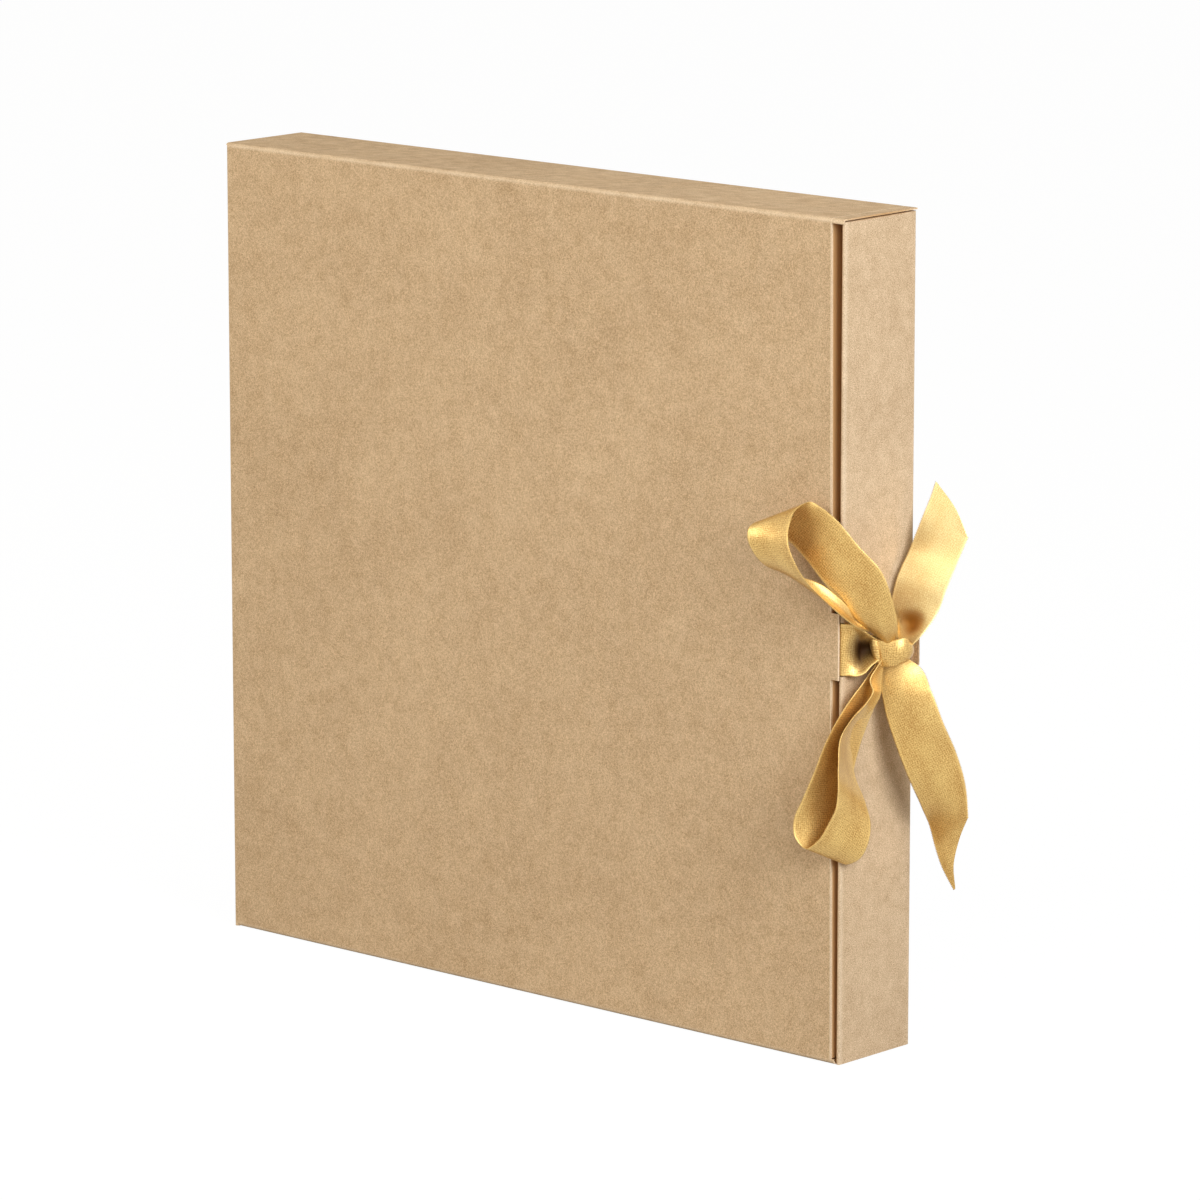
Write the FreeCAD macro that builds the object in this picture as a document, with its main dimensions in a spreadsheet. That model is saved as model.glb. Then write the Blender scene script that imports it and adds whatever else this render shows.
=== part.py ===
import FreeCAD, Part
import os
import re

import Sketcher
from FreeCAD import Placement, Rotation, Vector

# Advent calendar box of folded kraft card, in millimetres.
# It stands on its lower edge. +Z is up, the cover faces -Y and the ribbon is
# tied at the +X side. The origin is the middle of the footprint.

doc = FreeCAD.newDocument("advent_calendar_box")
sheet = doc.addObject("Spreadsheet::Sheet", "sizes")

DRIVING_SIZES = [
    ("box_width", 330),
    ("box_height", 330),
    ("box_depth", 44),
    # Thickness of the folded cover card, and of the lighter drawer carton.
    ("card", 0.6),
    ("carton", 0.6),
    # Outside radius of a folded corner, and of the rolled hinge fold.
    ("crease", 1.6),
    ("hinge_roll", 1.2),
    # The gap left between walls that slide past each other.
    ("slip", 0.3),
    # The cover's free edge stops short of the box's side, more at the top.
    ("fold_inset_top", 5.8),
    ("fold_inset_bottom", 3.4),
    # The flap behind that edge, and how far its ends stay from the top and bottom.
    ("flap_depth", 12),
    ("flap_end", 2.2),
    # The tongues left standing in the cover's plane and in the back's plane.
    ("tab_height", 26),
    ("front_tab_reach", 3.7),
    ("rear_tab_reach", 3.1),
    # The doubled side wall, and how far its front edge stands back.
    ("side_wall", 1.7),
    ("side_wall_recess", 1.0),
    ("rolled_edge", 0.83),
    # Where the ribbon has pressed that edge in, and the slant of the bottom wall's end.
    ("pressed_in", 1.4),
    ("bottom_slant", 3),
    # The rack of drawers inside.
    ("rack_margin", 8.5),
    ("rack_setback", 2.5),
    ("drawer_slip", 0.4),
    ("drawer_rear_gap", 1.5),
    ("drawer_proud", 0.2),
    ("notch_radius", 9),
    ("notch_depth", 7),
    # The satin ribbon, how high its lower edge runs, and the knot it is tied in.
    ("ribbon_width", 20),
    ("ribbon_thick", 0.5),
    ("ribbon_low", 154),
    ("knot_x", 173.5),
    ("knot_y", -1.5),
    ("knot_z", 163),
    ("knot_half_length", 8.1),
    ("knot_half_depth", 5),
    ("knot_half_height", 5.6),
]
# The knot is turned by this much, so that its long side faces the front right.
KNOT_TURN = 40.5

COLUMNS = 5
ROWS = 5
# The last drawer is two cells wide, in the bottom row.
WIDE_ROW = 4
WIDE_COLUMN = 3

for row, (alias, value) in enumerate(DRIVING_SIZES, start=1):
    sheet.set("A%d" % row, alias.replace("_", " "))
    sheet.set("B%d" % row, str(value))
    sheet.setAlias("B%d" % row, alias)
doc.recompute()

# Places that several pieces share, worked out from the driving sizes.
DERIVED_SIZES = [
    ("side", "box_width / 2"),
    ("front", "-box_depth / 2"),
    ("back", "box_depth / 2"),
    ("hinge_x", "-side + hinge_roll"),
    ("hinge_y", "front + hinge_roll"),
    ("fold_inset_middle", "(fold_inset_top + fold_inset_bottom) / 2"),
    ("tray_floor", "card + slip"),
    ("tray_ceiling", "box_height - card - 2 * slip"),
    ("rack_side", "side - rack_margin"),
    ("rack_front", "front + card + rack_setback"),
    ("rack_back", "back - card"),
    ("rack_bottom", "tray_floor + card"),
    ("rack_top", "tray_ceiling - card"),
    ("cell_width", "(2 * rack_side - 2 * card - %d * card) / %d" % (COLUMNS - 1, COLUMNS)),
    ("cell_height", "(rack_top - rack_bottom - 2 * card - %d * card) / %d" % (ROWS - 1, ROWS)),
    ("drawer_depth", "rack_back - rack_front - drawer_rear_gap"),
    ("tab_low", "box_height / 2 - tab_height / 2"),
    ("tab_high", "box_height / 2 + tab_height / 2"),
]

for row, (alias, formula) in enumerate(DERIVED_SIZES, start=1):
    sheet.set("C%d" % row, alias.replace("_", " "))
    sheet.set("D%d" % row, "=" + formula)
    sheet.setAlias("D%d" % row, alias)
    doc.recompute()


def size(expression):
    """The number that a formula of the sheet's names gives."""
    return float(sheet.evalExpression(on_sheet(expression)))


def on_sheet(expression):
    """The same formula, with each name read from the sheet."""
    return re.sub(r"[a-z_]+", lambda word: "sizes." + word.group(), expression)


def new_body(name):
    body = doc.addObject("PartDesign::Body", name)
    body.Label = name
    return body


def outline(body, name, plane_role, corners, start="0"):
    """A closed sketch of straight lines whose corners are bound to the sheet.

    It lies across the axis that its plane leaves out, at the place start.
    """
    sketch = body.newObject("Sketcher::SketchObject", name)
    plane = next(item for item in body.Origin.OriginFeatures if item.Role == plane_role)
    sketch.AttachmentSupport = [(plane, "")]
    sketch.MapMode = "FlatFace"
    offset = "-(" + start + ")" if plane_role == "XZ_Plane" else start
    sketch.setExpression(".AttachmentOffset.Base.z", on_sheet(offset))
    places = [Vector(size(across), size(along), 0) for across, along in corners]
    count = len(corners)
    for index in range(count):
        sketch.addGeometry(Part.LineSegment(places[index], places[(index + 1) % count]), False)
    for index in range(count):
        sketch.addConstraint(Sketcher.Constraint("Coincident", index, 2, (index + 1) % count, 1))
    for index, corner in enumerate(corners):
        for kind, formula in zip(("DistanceX", "DistanceY"), corner):
            bind_corner(sketch, index, kind, formula)
    return sketch


def bind_corner(sketch, index, kind, formula):
    """Holds one coordinate of a corner to its formula, or to the axis if it is zero."""
    distance = size(formula)
    if abs(distance) < 1e-9:
        axis = -2 if kind == "DistanceX" else -1
        sketch.addConstraint(Sketcher.Constraint("PointOnObject", index, 1, axis))
        return
    place = sketch.addConstraint(Sketcher.Constraint(kind, -1, 1, index, 1, distance))
    name = "%s_%d" % (kind, index)
    sketch.renameConstraint(place, name)
    sketch.setExpression("Constraints." + name, on_sheet(formula))


def box_corners(low_across, high_across, low_along, high_along):
    return [
        (low_across, low_along),
        (high_across, low_along),
        (high_across, high_along),
        (low_across, high_along),
    ]


def faces_back(sketch):
    """The XZ plane's own normal points along -Y, the other planes' along + axes."""
    return sketch.AttachmentSupport[0][0].Role == "XZ_Plane"


def pad(body, name, sketch, length):
    """Thickens the sketch towards the positive end of its axis."""
    feature = body.newObject("PartDesign::Pad", name)
    feature.Profile = sketch
    feature.setExpression("Length", on_sheet(length))
    feature.Reversed = faces_back(sketch)
    doc.recompute()
    return feature


def pocket(body, name, sketch, length):
    """Cuts the sketch out towards the positive end, and stops if it cut nothing."""
    before = body.Shape.Volume
    feature = body.newObject("PartDesign::Pocket", name)
    feature.Profile = sketch
    feature.setExpression("Length", on_sheet(length))
    feature.Reversed = not faces_back(sketch)
    doc.recompute()
    if body.Shape.Volume >= before - 1e-6:
        raise ValueError("%s %s cuts nothing" % (body.Label, name))
    return feature


def round_edges(body, name, radius, belongs):
    """Rounds the edges of the body's tip that the test picks."""
    base = body.Tip
    picked = [
        "Edge%d" % number
        for number, edge in enumerate(base.Shape.Edges, start=1)
        if belongs(edge.Vertexes[0].Point, edge.Vertexes[-1].Point)
    ]
    if not picked:
        raise ValueError("%s %s finds no edge" % (body.Label, name))
    feature = body.newObject("PartDesign::Fillet", name)
    feature.Base = (base, picked)
    feature.setExpression("Radius", on_sheet(radius))
    doc.recompute()
    return feature


def near(value, expression):
    return abs(value - size(expression)) < 1e-4


def along_x(start, end):
    return abs(start.x - end.x) > 1 and abs(start.y - end.y) < 1e-4 and abs(start.z - end.z) < 1e-4


def along_z(start, end):
    return abs(start.z - end.z) > 1 and abs(start.x - end.x) < 1e-4 and abs(start.y - end.y) < 1e-4


# The cover, top and bottom walls, closing flap and tab are one folded sheet.
def make_lid():
    body = new_body("lid_cover")
    channel = [
        ("back", "box_height"),
        ("front", "box_height"),
        ("front", "0"),
        ("back - card - slip", "0"),
        ("back - card - slip", "card"),
        ("front + card", "card"),
        ("front + card", "box_height - card"),
        ("back", "box_height - card"),
    ]
    profile = outline(body, "lid_section", "YZ_Plane", channel, "-side")
    pad(body, "lid_sheet", profile, "box_width")

    def outer_crease(start, end):
        on_level = near(start.z, "0") or near(start.z, "box_height")
        return along_x(start, end) and near(start.y, "front") and on_level

    def inner_crease(start, end):
        on_level = near(start.z, "card") or near(start.z, "box_height - card")
        return along_x(start, end) and near(start.y, "front + card") and on_level

    round_edges(body, "outer_creases", "crease", outer_crease)
    round_edges(body, "inner_creases", "crease - card", inner_crease)

    strip = "box_height - crease - slip"
    free_edge = [
        ("side - fold_inset_top", strip),
        ("side - fold_inset_middle", "tab_high"),
        ("side - fold_inset_middle + front_tab_reach", "tab_high"),
        ("side - fold_inset_middle + front_tab_reach", "tab_low"),
        ("side - fold_inset_middle", "tab_low"),
        ("side - fold_inset_bottom", "crease + slip"),
        ("side + card", "crease + slip"),
        ("side + card", strip),
    ]
    margin = outline(body, "cover_margin", "XZ_Plane", free_edge, "front - card")
    pocket(body, "cover_edge", margin, "card + crease")

    # The bottom wall turns inside the side wall, so its far end is tapered.
    wall_inside = "side - side_wall - slip"
    reach = "2 * side - hinge_roll - side_wall - slip"
    taper = [
        (wall_inside, "front - card"),
        (wall_inside, "hinge_y"),
        ("hinge_x + " + reach + " - bottom_slant", "back"),
        ("side + card", "back"),
        ("side + card", "front - card"),
    ]
    end = outline(body, "bottom_end", "XY_Plane", taper)
    pocket(body, "bottom_taper", end, "crease + slip + card")

    corner = box_corners("-side - card", "hinge_x", "front - card", "back")
    hinge_side = outline(body, "hinge_corner", "XY_Plane", corner)
    pocket(body, "hinge_clearance", hinge_side, "box_height - card - slip")

    flap_edges = [
        ("side - fold_inset_bottom - card", "flap_end"),
        ("side - fold_inset_bottom", "flap_end"),
        ("side - fold_inset_top", "box_height - flap_end"),
        ("side - fold_inset_top - card", "box_height - flap_end"),
    ]
    flap = outline(body, "flap_face", "XZ_Plane", flap_edges, "front")
    pad(body, "closing_flap", flap, "flap_depth")
    window = box_corners("side - rack_margin", "side", "tab_low", "tab_high")
    slot = outline(body, "flap_window", "XZ_Plane", window, "front + card")
    pocket(body, "ribbon_slot", slot, "front_tab_reach")
    return body


def make_hinge_roll():
    """The rolled fold that the cover turns on, along the front left edge."""
    roll = doc.addObject("Part::Cylinder", "hinge_roll_shape")
    roll.setExpression("Radius", "sizes.hinge_roll")
    roll.setExpression("Height", "sizes.box_height - sizes.card - sizes.slip")
    roll.setExpression(".Placement.Base.x", "sizes.hinge_x")
    roll.setExpression(".Placement.Base.y", "sizes.hinge_y")
    return roll


# The back, both side walls and the two inner walls are the other folded sheet.
def make_tray():
    body = new_body("tray")
    walls = [
        ("-side", "front + 2 * hinge_roll + slip"),
        ("-side", "back"),
        ("side", "back"),
        ("side", "front + side_wall_recess"),
        ("side - side_wall", "front + side_wall_recess"),
        ("side - side_wall", "back - card"),
        ("-side + card", "back - card"),
        ("-side + card", "front + 2 * hinge_roll + slip"),
    ]
    section = outline(body, "tray_section", "XY_Plane", walls)
    pad(body, "tray_walls", section, "tray_ceiling")

    def back_corner(start, end):
        return along_z(start, end) and near(start.y, "back")

    def rolled_edge(start, end):
        return along_z(start, end) and near(start.y, "front + side_wall_recess")

    round_edges(body, "back_creases", "crease", back_corner)
    round_edges(body, "rolled_side_edge", "rolled_edge", rolled_edge)
    pressed = box_corners(
        "front", "front + side_wall_recess + pressed_in",
        "ribbon_low - 2 * slip", "ribbon_low + ribbon_width + 2 * slip"
    )
    rest = outline(body, "ribbon_rest", "YZ_Plane", pressed, "side - side_wall - slip")
    pocket(body, "pressed_side_edge", rest, "side_wall + 2 * slip")

    inner_front = "hinge_y + hinge_roll + slip"
    inner = box_corners("-side + card / 2", "side - side_wall / 2", inner_front, "back - card / 2")
    floor = outline(body, "floor_outline", "XY_Plane", inner, "tray_floor")
    pad(body, "inner_floor", floor, "card")
    ceiling = outline(body, "ceiling_outline", "XY_Plane", inner, "tray_ceiling - card")
    pad(body, "inner_ceiling", ceiling, "card")

    # The tab stays in the back's plane and leaves a window in the side wall.
    opening = box_corners("back - card - rear_tab_reach", "back - card", "tab_low", "tab_high")
    window = outline(body, "rear_window", "YZ_Plane", opening, "side - side_wall - slip")
    pocket(body, "rear_ribbon_slot", window, "side_wall + 3 * slip")
    tongue = box_corners("side - 2 * crease", "side + rear_tab_reach", "tab_low", "tab_high")
    tab = outline(body, "rear_tab_face", "XZ_Plane", tongue, "back - card")
    pad(body, "rear_tab", tab, "card")
    return body


def make_rack_frame():
    """The glued carton ring that holds the dividers."""
    body = new_body("rack_frame")
    ring = box_corners("-rack_side", "rack_side", "rack_bottom", "rack_top")
    outside = outline(body, "rack_outside", "XZ_Plane", ring, "rack_front")
    pad(body, "rack_block", outside, "rack_back - rack_front")
    hole = box_corners(
        "-rack_side + card", "rack_side - card", "rack_bottom + card", "rack_top - card"
    )
    inside = outline(body, "rack_inside", "XZ_Plane", hole, "rack_front")
    pocket(body, "rack_opening", inside, "rack_back - rack_front")
    return body


def cell_left(column):
    return "-rack_side + card + %d * cell_width + %d * card" % (column, column)


def cell_bottom(row):
    """The lowest level of a row, with row 0 at the top."""
    rise = ROWS - 1 - row
    return "rack_bottom + card + %d * cell_height + %d * card" % (rise, rise)


def make_divider(number):
    """An upright strip, slotted from the front where it crosses a shelf."""
    body = new_body("divider_%d" % number)
    left = cell_left(number) + " - card"
    crosses_wide = WIDE_COLUMN < number <= WIDE_COLUMN + 1
    lowest = cell_bottom(WIDE_ROW - 1) if crosses_wide else "rack_bottom + card"
    face = box_corners("rack_front", "rack_back", lowest, "rack_top - card")
    plate = outline(body, "divider_face", "YZ_Plane", face, left)
    pad(body, "divider_plate", plate, "card")
    middle = "rack_front / 2 + rack_back / 2"
    for row in range(ROWS - 1):
        level = cell_bottom(row)
        if crosses_wide and row == WIDE_ROW - 1:
            continue
        gap = box_corners("rack_front - card", middle, level + " - card", level)
        slot = outline(body, "slot_%d_outline" % row, "YZ_Plane", gap, left)
        pocket(body, "slot_%d" % row, slot, "card")
    return body


def make_shelf(number):
    """A level strip, slotted from the back where it crosses a divider."""
    body = new_body("shelf_%d" % number)
    level = cell_bottom(number - 1) + " - card"
    face = box_corners("-rack_side + card", "rack_side - card", "rack_front", "rack_back")
    plate = outline(body, "shelf_face", "XY_Plane", face, level)
    pad(body, "shelf_plate", plate, "card")
    middle = "rack_front / 2 + rack_back / 2"
    for column in range(1, COLUMNS):
        if number - 1 == WIDE_ROW - 1 and column == WIDE_COLUMN + 1:
            continue
        left = cell_left(column)
        gap = box_corners(left + " - card", left, middle, "rack_back + card")
        slot = outline(body, "slot_%d_outline" % column, "XY_Plane", gap, level)
        pocket(body, "slot_%d" % column, slot, "card")
    return body


def make_drawer(number, column, row, cells):
    """An open carton tray with a thumb notch in its front."""
    body = new_body("drawer_%02d" % number)
    width = "%d * cell_width + %d * card - 2 * drawer_slip" % (cells, cells - 1)
    height = "cell_height - 2 * drawer_slip"
    block = box_corners("0", width, "0", height)
    outside = outline(body, "drawer_outside", "XZ_Plane", block)
    pad(body, "drawer_block", outside, "drawer_depth")

    def upright_fold(start, end):
        return along_z(start, end)

    round_edges(body, "upright_folds", "carton", upright_fold)
    hollow = box_corners("carton", width + " - carton", "carton", "drawer_depth - carton")
    inside = outline(body, "drawer_inside", "XY_Plane", hollow, "carton")
    pocket(body, "drawer_hollow", inside, height)

    middle = "( " + width + " ) / 2"
    # Half the notch, as shares of its radius and of its depth.
    half_notch = [(1, 0), (0.92, 0.4), (0.72, 0.72), (0.4, 0.92), (0.1, 1)]
    notch_corners = [(middle + " - notch_radius", height + " + carton")]
    for across, down in half_notch:
        place = "%s - notch_radius * %g" % (middle, across)
        notch_corners.append((place, "%s - notch_depth * %g" % (height, down)))
    for across, down in reversed(half_notch):
        place = "%s + notch_radius * %g" % (middle, across)
        notch_corners.append((place, "%s - notch_depth * %g" % (height, down)))
    notch_corners.append((middle + " + notch_radius", height + " + carton"))
    notch = outline(body, "notch_outline", "XZ_Plane", notch_corners)
    pocket(body, "thumb_notch", notch, "carton")
    body.setExpression(".Placement.Base.x", on_sheet(cell_left(column) + " + drawer_slip"))
    body.setExpression(".Placement.Base.y", on_sheet("rack_front - drawer_proud"))
    body.setExpression(".Placement.Base.z", on_sheet(cell_bottom(row)))
    return body


def make_drawers():
    """Twenty-four drawers, counted row by row from the top left."""
    drawers = []
    for row in range(ROWS):
        column = 0
        while column < COLUMNS:
            wide = row == WIDE_ROW and column == WIDE_COLUMN
            cells = 2 if wide else 1
            drawers.append(make_drawer(len(drawers) + 1, column, row, cells))
            column += cells
    return drawers


# A strip's solid may differ by this share from its length times its section.
VOLUME_TOLERANCE = 0.1

# The two ribbons and the bow. Each pair gives a strip's two edges at one place,
# as x, y and z from the knot's middle. The places were read by eye from the
# photograph, mostly to the nearest half millimetre.
FRONT_RIBBON = [
    ((-41.5, -19.65, 11), (-41.5, -19.65, -9)),
    ((-14, -19.65, 11), (-14, -19.65, -9)),
    ((-10.5, -19.4, 11), (-10.5, -19.4, -9)),
    ((-8.6, -18.9, 11), (-8.6, -18.9, -9)),
    ((-7, -17.5, 11), (-7, -17.5, -9)),
    ((-5.5, -14.5, 10), (-5.5, -14.5, -9)),
    ((-4.2, -11, 7.8), (-4.2, -11, -8)),
    ((-3.4, -7.5, 5.5), (-3.4, -7.5, -5)),
    ((-1.5, -4, 3), (-1.5, -4, -3)),
]
REAR_RIBBON = [
    ((-15.9, 22.6, 11), (-15.9, 22.6, -9)),
    ((-10.5, 22.5, 11), (-10.5, 22.5, -9)),
    ((-8.8, 21.8, 11), (-8.8, 21.8, -9)),
    ((-8, 20.4, 11), (-8, 20.4, -9)),
    ((-7.8, 18, 11), (-7.8, 18, -9)),
    ((-7.8, -0.5, 11), (-7.8, -0.5, -9)),
]
UPPER_LOOP = [
    ((2.5, -1, 3), (-0.5, -4.5, 3.5)),
    ((7, -5.5, 11.5), (-2, -12.5, 9.5)),
    ((8.5, -10, 20.5), (-4.5, -17.5, 14.5)),
    ((7.5, -15, 32), (-8, -21, 20)),
    ((-1, -20, 43), (-13.5, -25.5, 28.5)),
    ((-8.5, -24, 52.5), (-21, -27.5, 37)),
    ((-14.5, -25.5, 56.5), (-28.5, -28, 42.5)),
    ((-20, -27, 58), (-37, -33, 49.5)),
    ((-21.5, -32.5, 55.5), (-39, -38, 48)),
    ((-19.5, -38.5, 50), (-38.5, -40, 43.5)),
    ((-16.5, -42, 43.5), (-35, -39, 37)),
    ((-12.5, -42.5, 37), (-31, -36.5, 33)),
    ((-8.5, -39, 30), (-24, -32, 28.5)),
    ((-6, -32.5, 22), (-17, -26.5, 23.5)),
    ((-3, -25.5, 15.5), (-10.5, -24, 18)),
    ((-2.5, -18.5, 10.5), (-5.5, -15.5, 13)),
    ((-2, -4.5, 4.5), (-4, -1, 5.5)),
    ((-1.5, -3, 2), (-3.5, 0.5, 2)),
]
LOWER_LOOP = [
    ((-2.5, -3, -2.5), (-3, 0, -3.5)),
    ((-3, -9, -8.5), (-3.5, -2.5, -11)),
    ((-1.5, -16.5, -12.5), (-3.5, -3.5, -17)),
    ((-2, -22.5, -17.5), (-4, -5, -22)),
    ((-3.5, -27.5, -24), (-5, -8, -28.5)),
    ((-6.5, -31, -33), (-6, -11.5, -37)),
    ((-9.5, -34.5, -45), (-7, -15, -49)),
    ((-12.5, -37, -54.5), (-7, -18, -58)),
    ((-15.5, -39, -64), (-7, -20.5, -68)),
    ((-14.5, -38.5, -71), (-6, -21.5, -77)),
    ((-12, -36, -74.5), (-2.5, -19.5, -82)),
    ((-7, -34, -70.5), (0.5, -16.5, -77)),
    ((-3.5, -32.5, -64), (1.5, -14, -70)),
    ((-0.5, -32, -58), (0.5, -13, -63.5)),
    ((1, -32.5, -51.5), (-2.5, -13.5, -57.5)),
    ((1.5, -33, -40.5), (-6, -15.5, -46.5)),
    ((1.5, -31.5, -29.5), (-6.5, -15, -36)),
    ((4, -27, -22), (-4, -12.5, -26.5)),
    ((5.5, -21.5, -17.5), (-0.5, -9.5, -21.5)),
    ((5.5, -17.5, -13.5), (0.5, -7, -16.5)),
    ((1.5, -14.5, -10), (-1, -5, -12)),
    ((0, -8.5, -6), (-1.5, -3, -7)),
    ((-0.5, -3.5, -2.5), (-0.5, -1, -2.5)),
]
UPPER_TAIL = [
    ((1, 3, 0.5), (4, 4, -1)),
    ((-4, 8, 8), (8.5, 6.5, 4.5)),
    ((-6, 7.5, 15.5), (10.5, 14, 12.5)),
    ((-6, 10, 24.5), (12, 17, 20.5)),
    ((-5, 16.5, 35.5), (13.5, 21.5, 30.5)),
    ((-1, 20, 49.5), (15.5, 26.5, 41.5)),
    ((0.5, 22, 55.5), (11, 24.5, 52)),
    ((3, 22.5, 61.5), (3.5, 22.5, 61)),
]
LOWER_TAIL = [
    ((-2.5, 0, -3.5), (2.5, 2.5, -2.5)),
    ((-5.5, 0.5, -11.5), (6, 9.5, -7)),
    ((-6.5, 4, -23.5), (8, 14, -16)),
    ((-5.5, 8.5, -35.5), (9.5, 19, -28)),
    ((-2, 12, -49), (12.5, 24.5, -42)),
    ((0, 19, -64), (17.5, 25, -56.5)),
    ((1, 23, -73.5), (20.5, 23, -67.5)),
    ((5.5, 21, -81), (15.5, 23.5, -76.5)),
    ((8.5, 21.5, -88.5), (13.5, 22.5, -86.5)),
    ((13, 23.5, -97.5), (13.5, 23.5, -97)),
]


def strip_corners(edges, run):
    """The four corners of the outline across a strip whose edges are two points."""
    across = (edges[1] - edges[0]).normalize()
    thick = run.cross(across).normalize() * (size("ribbon_thick") / 2)
    return [edges[0] + thick, edges[1] + thick, edges[1] - thick, edges[0] - thick]


def across_face(corners):
    return Part.Face(Part.makePolygon(corners + corners[:1]))


def side_face(first, second):
    """The surface of straight lines between two curves of the same knots."""
    surface = Part.BSplineSurface()
    poles = list(zip(first.getPoles(), second.getPoles()))
    surface.buildFromPolesMultsKnots(
        poles, first.getMultiplicities(), [2, 2], first.getKnots(), [0, 1],
        False, False, first.Degree, 1
    )
    return surface.toShape()


def curved_strip(outlines, places):
    """A strip whose four long edges run smoothly through the outlines' corners."""
    curves = []
    for corner in range(4):
        curve = Part.BSplineCurve()
        curve.interpolate(Points=[outline[corner] for outline in outlines], Parameters=places)
        curves.append(curve)
    faces = [across_face(outlines[0]), across_face(outlines[-1])]
    for start, end in zip(places[:-1], places[1:]):
        spans = []
        for curve in curves:
            span = curve.copy()
            span.segment(start, end)
            spans.append(span)
        faces += [side_face(spans[corner], spans[(corner + 1) % 4]) for corner in range(4)]
    shell = Part.makeShell(faces)
    shell.sewShape()
    solid = Part.makeSolid(shell)
    if solid.Volume < 0:
        solid.reverse()
    return solid


def make_strip(name, stations, curved=True):
    """A ribbon strip through its stations, checked against its own length and width."""
    knot = Vector(size("knot_x"), size("knot_y"), size("knot_z"))
    edges = [(Vector(*first) + knot, Vector(*second) + knot) for first, second in stations]
    widths = [(second - first).Length for first, second in edges]
    middles = [(first + second) * 0.5 for first, second in edges]
    last = len(edges) - 1
    outlines = [
        strip_corners(pair, middles[min(index + 1, last)] - middles[max(index - 1, 0)])
        for index, pair in enumerate(edges)
    ]
    places = [0.0]
    area = 0.0
    for index in range(last):
        step = (middles[index + 1] - middles[index]).Length
        places.append(places[-1] + step)
        area += step * (widths[index] + widths[index + 1]) / 2
    strip = doc.addObject("Part::Feature", name)
    if curved:
        strip.Shape = curved_strip(outlines, places)
    else:
        polygons = [Part.makePolygon(corners + corners[:1]) for corners in outlines]
        strip.Shape = Part.makeLoft(polygons, True, True)
    strip.Label = name
    expected = area * size("ribbon_thick")
    if abs(strip.Shape.Volume - expected) > VOLUME_TOLERANCE * expected:
        raise ValueError("%s is %.0f mm3, not %.0f" % (name, strip.Shape.Volume, expected))
    print("%-22s %4.0f mm long, %.0f mm2" % (name, places[-1], area))
    return strip


def make_knot():
    """The ribbon wound once round the crossing, as one rounded lump."""
    knot = doc.addObject("Part::Ellipsoid", "bow_knot")
    knot.setExpression("Radius1", "sizes.knot_half_height")
    knot.setExpression("Radius2", "sizes.knot_half_length")
    knot.setExpression("Radius3", "sizes.knot_half_depth")
    knot.Placement = Placement(Vector(), Rotation(Vector(0, 0, 1), KNOT_TURN))
    for axis in "xyz":
        knot.setExpression(".Placement.Base." + axis, "sizes.knot_" + axis)
    knot.Label = "bow_knot"
    return knot


def up_to_knot(name, strip, knot):
    """The strip, ending where it goes into the knot."""
    shortened = doc.addObject("Part::Cut", name)
    shortened.Base = strip
    shortened.Tool = knot
    shortened.Label = name
    return shortened


def make_ribbons():
    knot = make_knot()
    doc.recompute()
    pieces = [make_strip("rear_ribbon", REAR_RIBBON, False), knot]
    into_knot = [
        ("front_ribbon", FRONT_RIBBON, False),
        ("bow_loop_upper", UPPER_LOOP, True),
        ("bow_loop_lower", LOWER_LOOP, True),
        ("bow_tail_upper", UPPER_TAIL, True),
        ("bow_tail_lower", LOWER_TAIL, True),
    ]
    for name, stations, curved in into_knot:
        strip = make_strip(name + "_strip", stations, curved)
        pieces.append(up_to_knot(name, strip, knot))
    return pieces


def fuse(name, pieces):
    joined = doc.addObject("Part::MultiFuse", name)
    joined.Shapes = pieces
    joined.Refine = False
    joined.Label = name
    return joined


subparts = [fuse("lid", [make_lid(), make_hinge_roll()])]
subparts.append(make_tray())
subparts.append(make_rack_frame())
subparts += [make_divider(number) for number in range(1, COLUMNS)]
subparts += [make_shelf(number) for number in range(1, ROWS)]
subparts += make_drawers()
subparts += make_ribbons()
doc.recompute()

for item in doc.Objects:
    if "Invalid" in item.State or "Error" in item.State:
        raise ValueError("%s is in a failed state" % item.Label)
for item in subparts:
    if item.Shape.isNull() or not item.Shape.isValid():
        raise ValueError("%s has no valid shape" % item.Label)
    if not item.Shape.Solids:
        raise ValueError("%s is not solid" % item.Label)

os.makedirs("parts", exist_ok=True)
for item in subparts:
    item.Shape.exportStep(os.path.join("parts", item.Label + ".step"))
    box = item.Shape.BoundBox
    print("%-16s %8.1f mm3  x %.1f %.1f  y %.1f %.1f  z %.1f %.1f" % (
        item.Label, item.Shape.Volume, box.XMin, box.XMax, box.YMin, box.YMax, box.ZMin, box.ZMax))
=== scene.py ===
# %% [markdown]
# # An advent calendar box of kraft card, tied with a satin bow
#
# The photograph shows a flat upright box of folded brown card, tied shut at
# the right with a gold satin ribbon. That its cover opens like a book, and that
# twenty-four small drawers stand behind it, is inferred. The rigid card comes
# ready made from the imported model, so this lesson loads it, keeps it still, and
# adds what a render needs: card that looks like card, ribbon that looks like
# satin, numbers on the drawers, plain studio light and a camera at the angle of
# the photograph.

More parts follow.
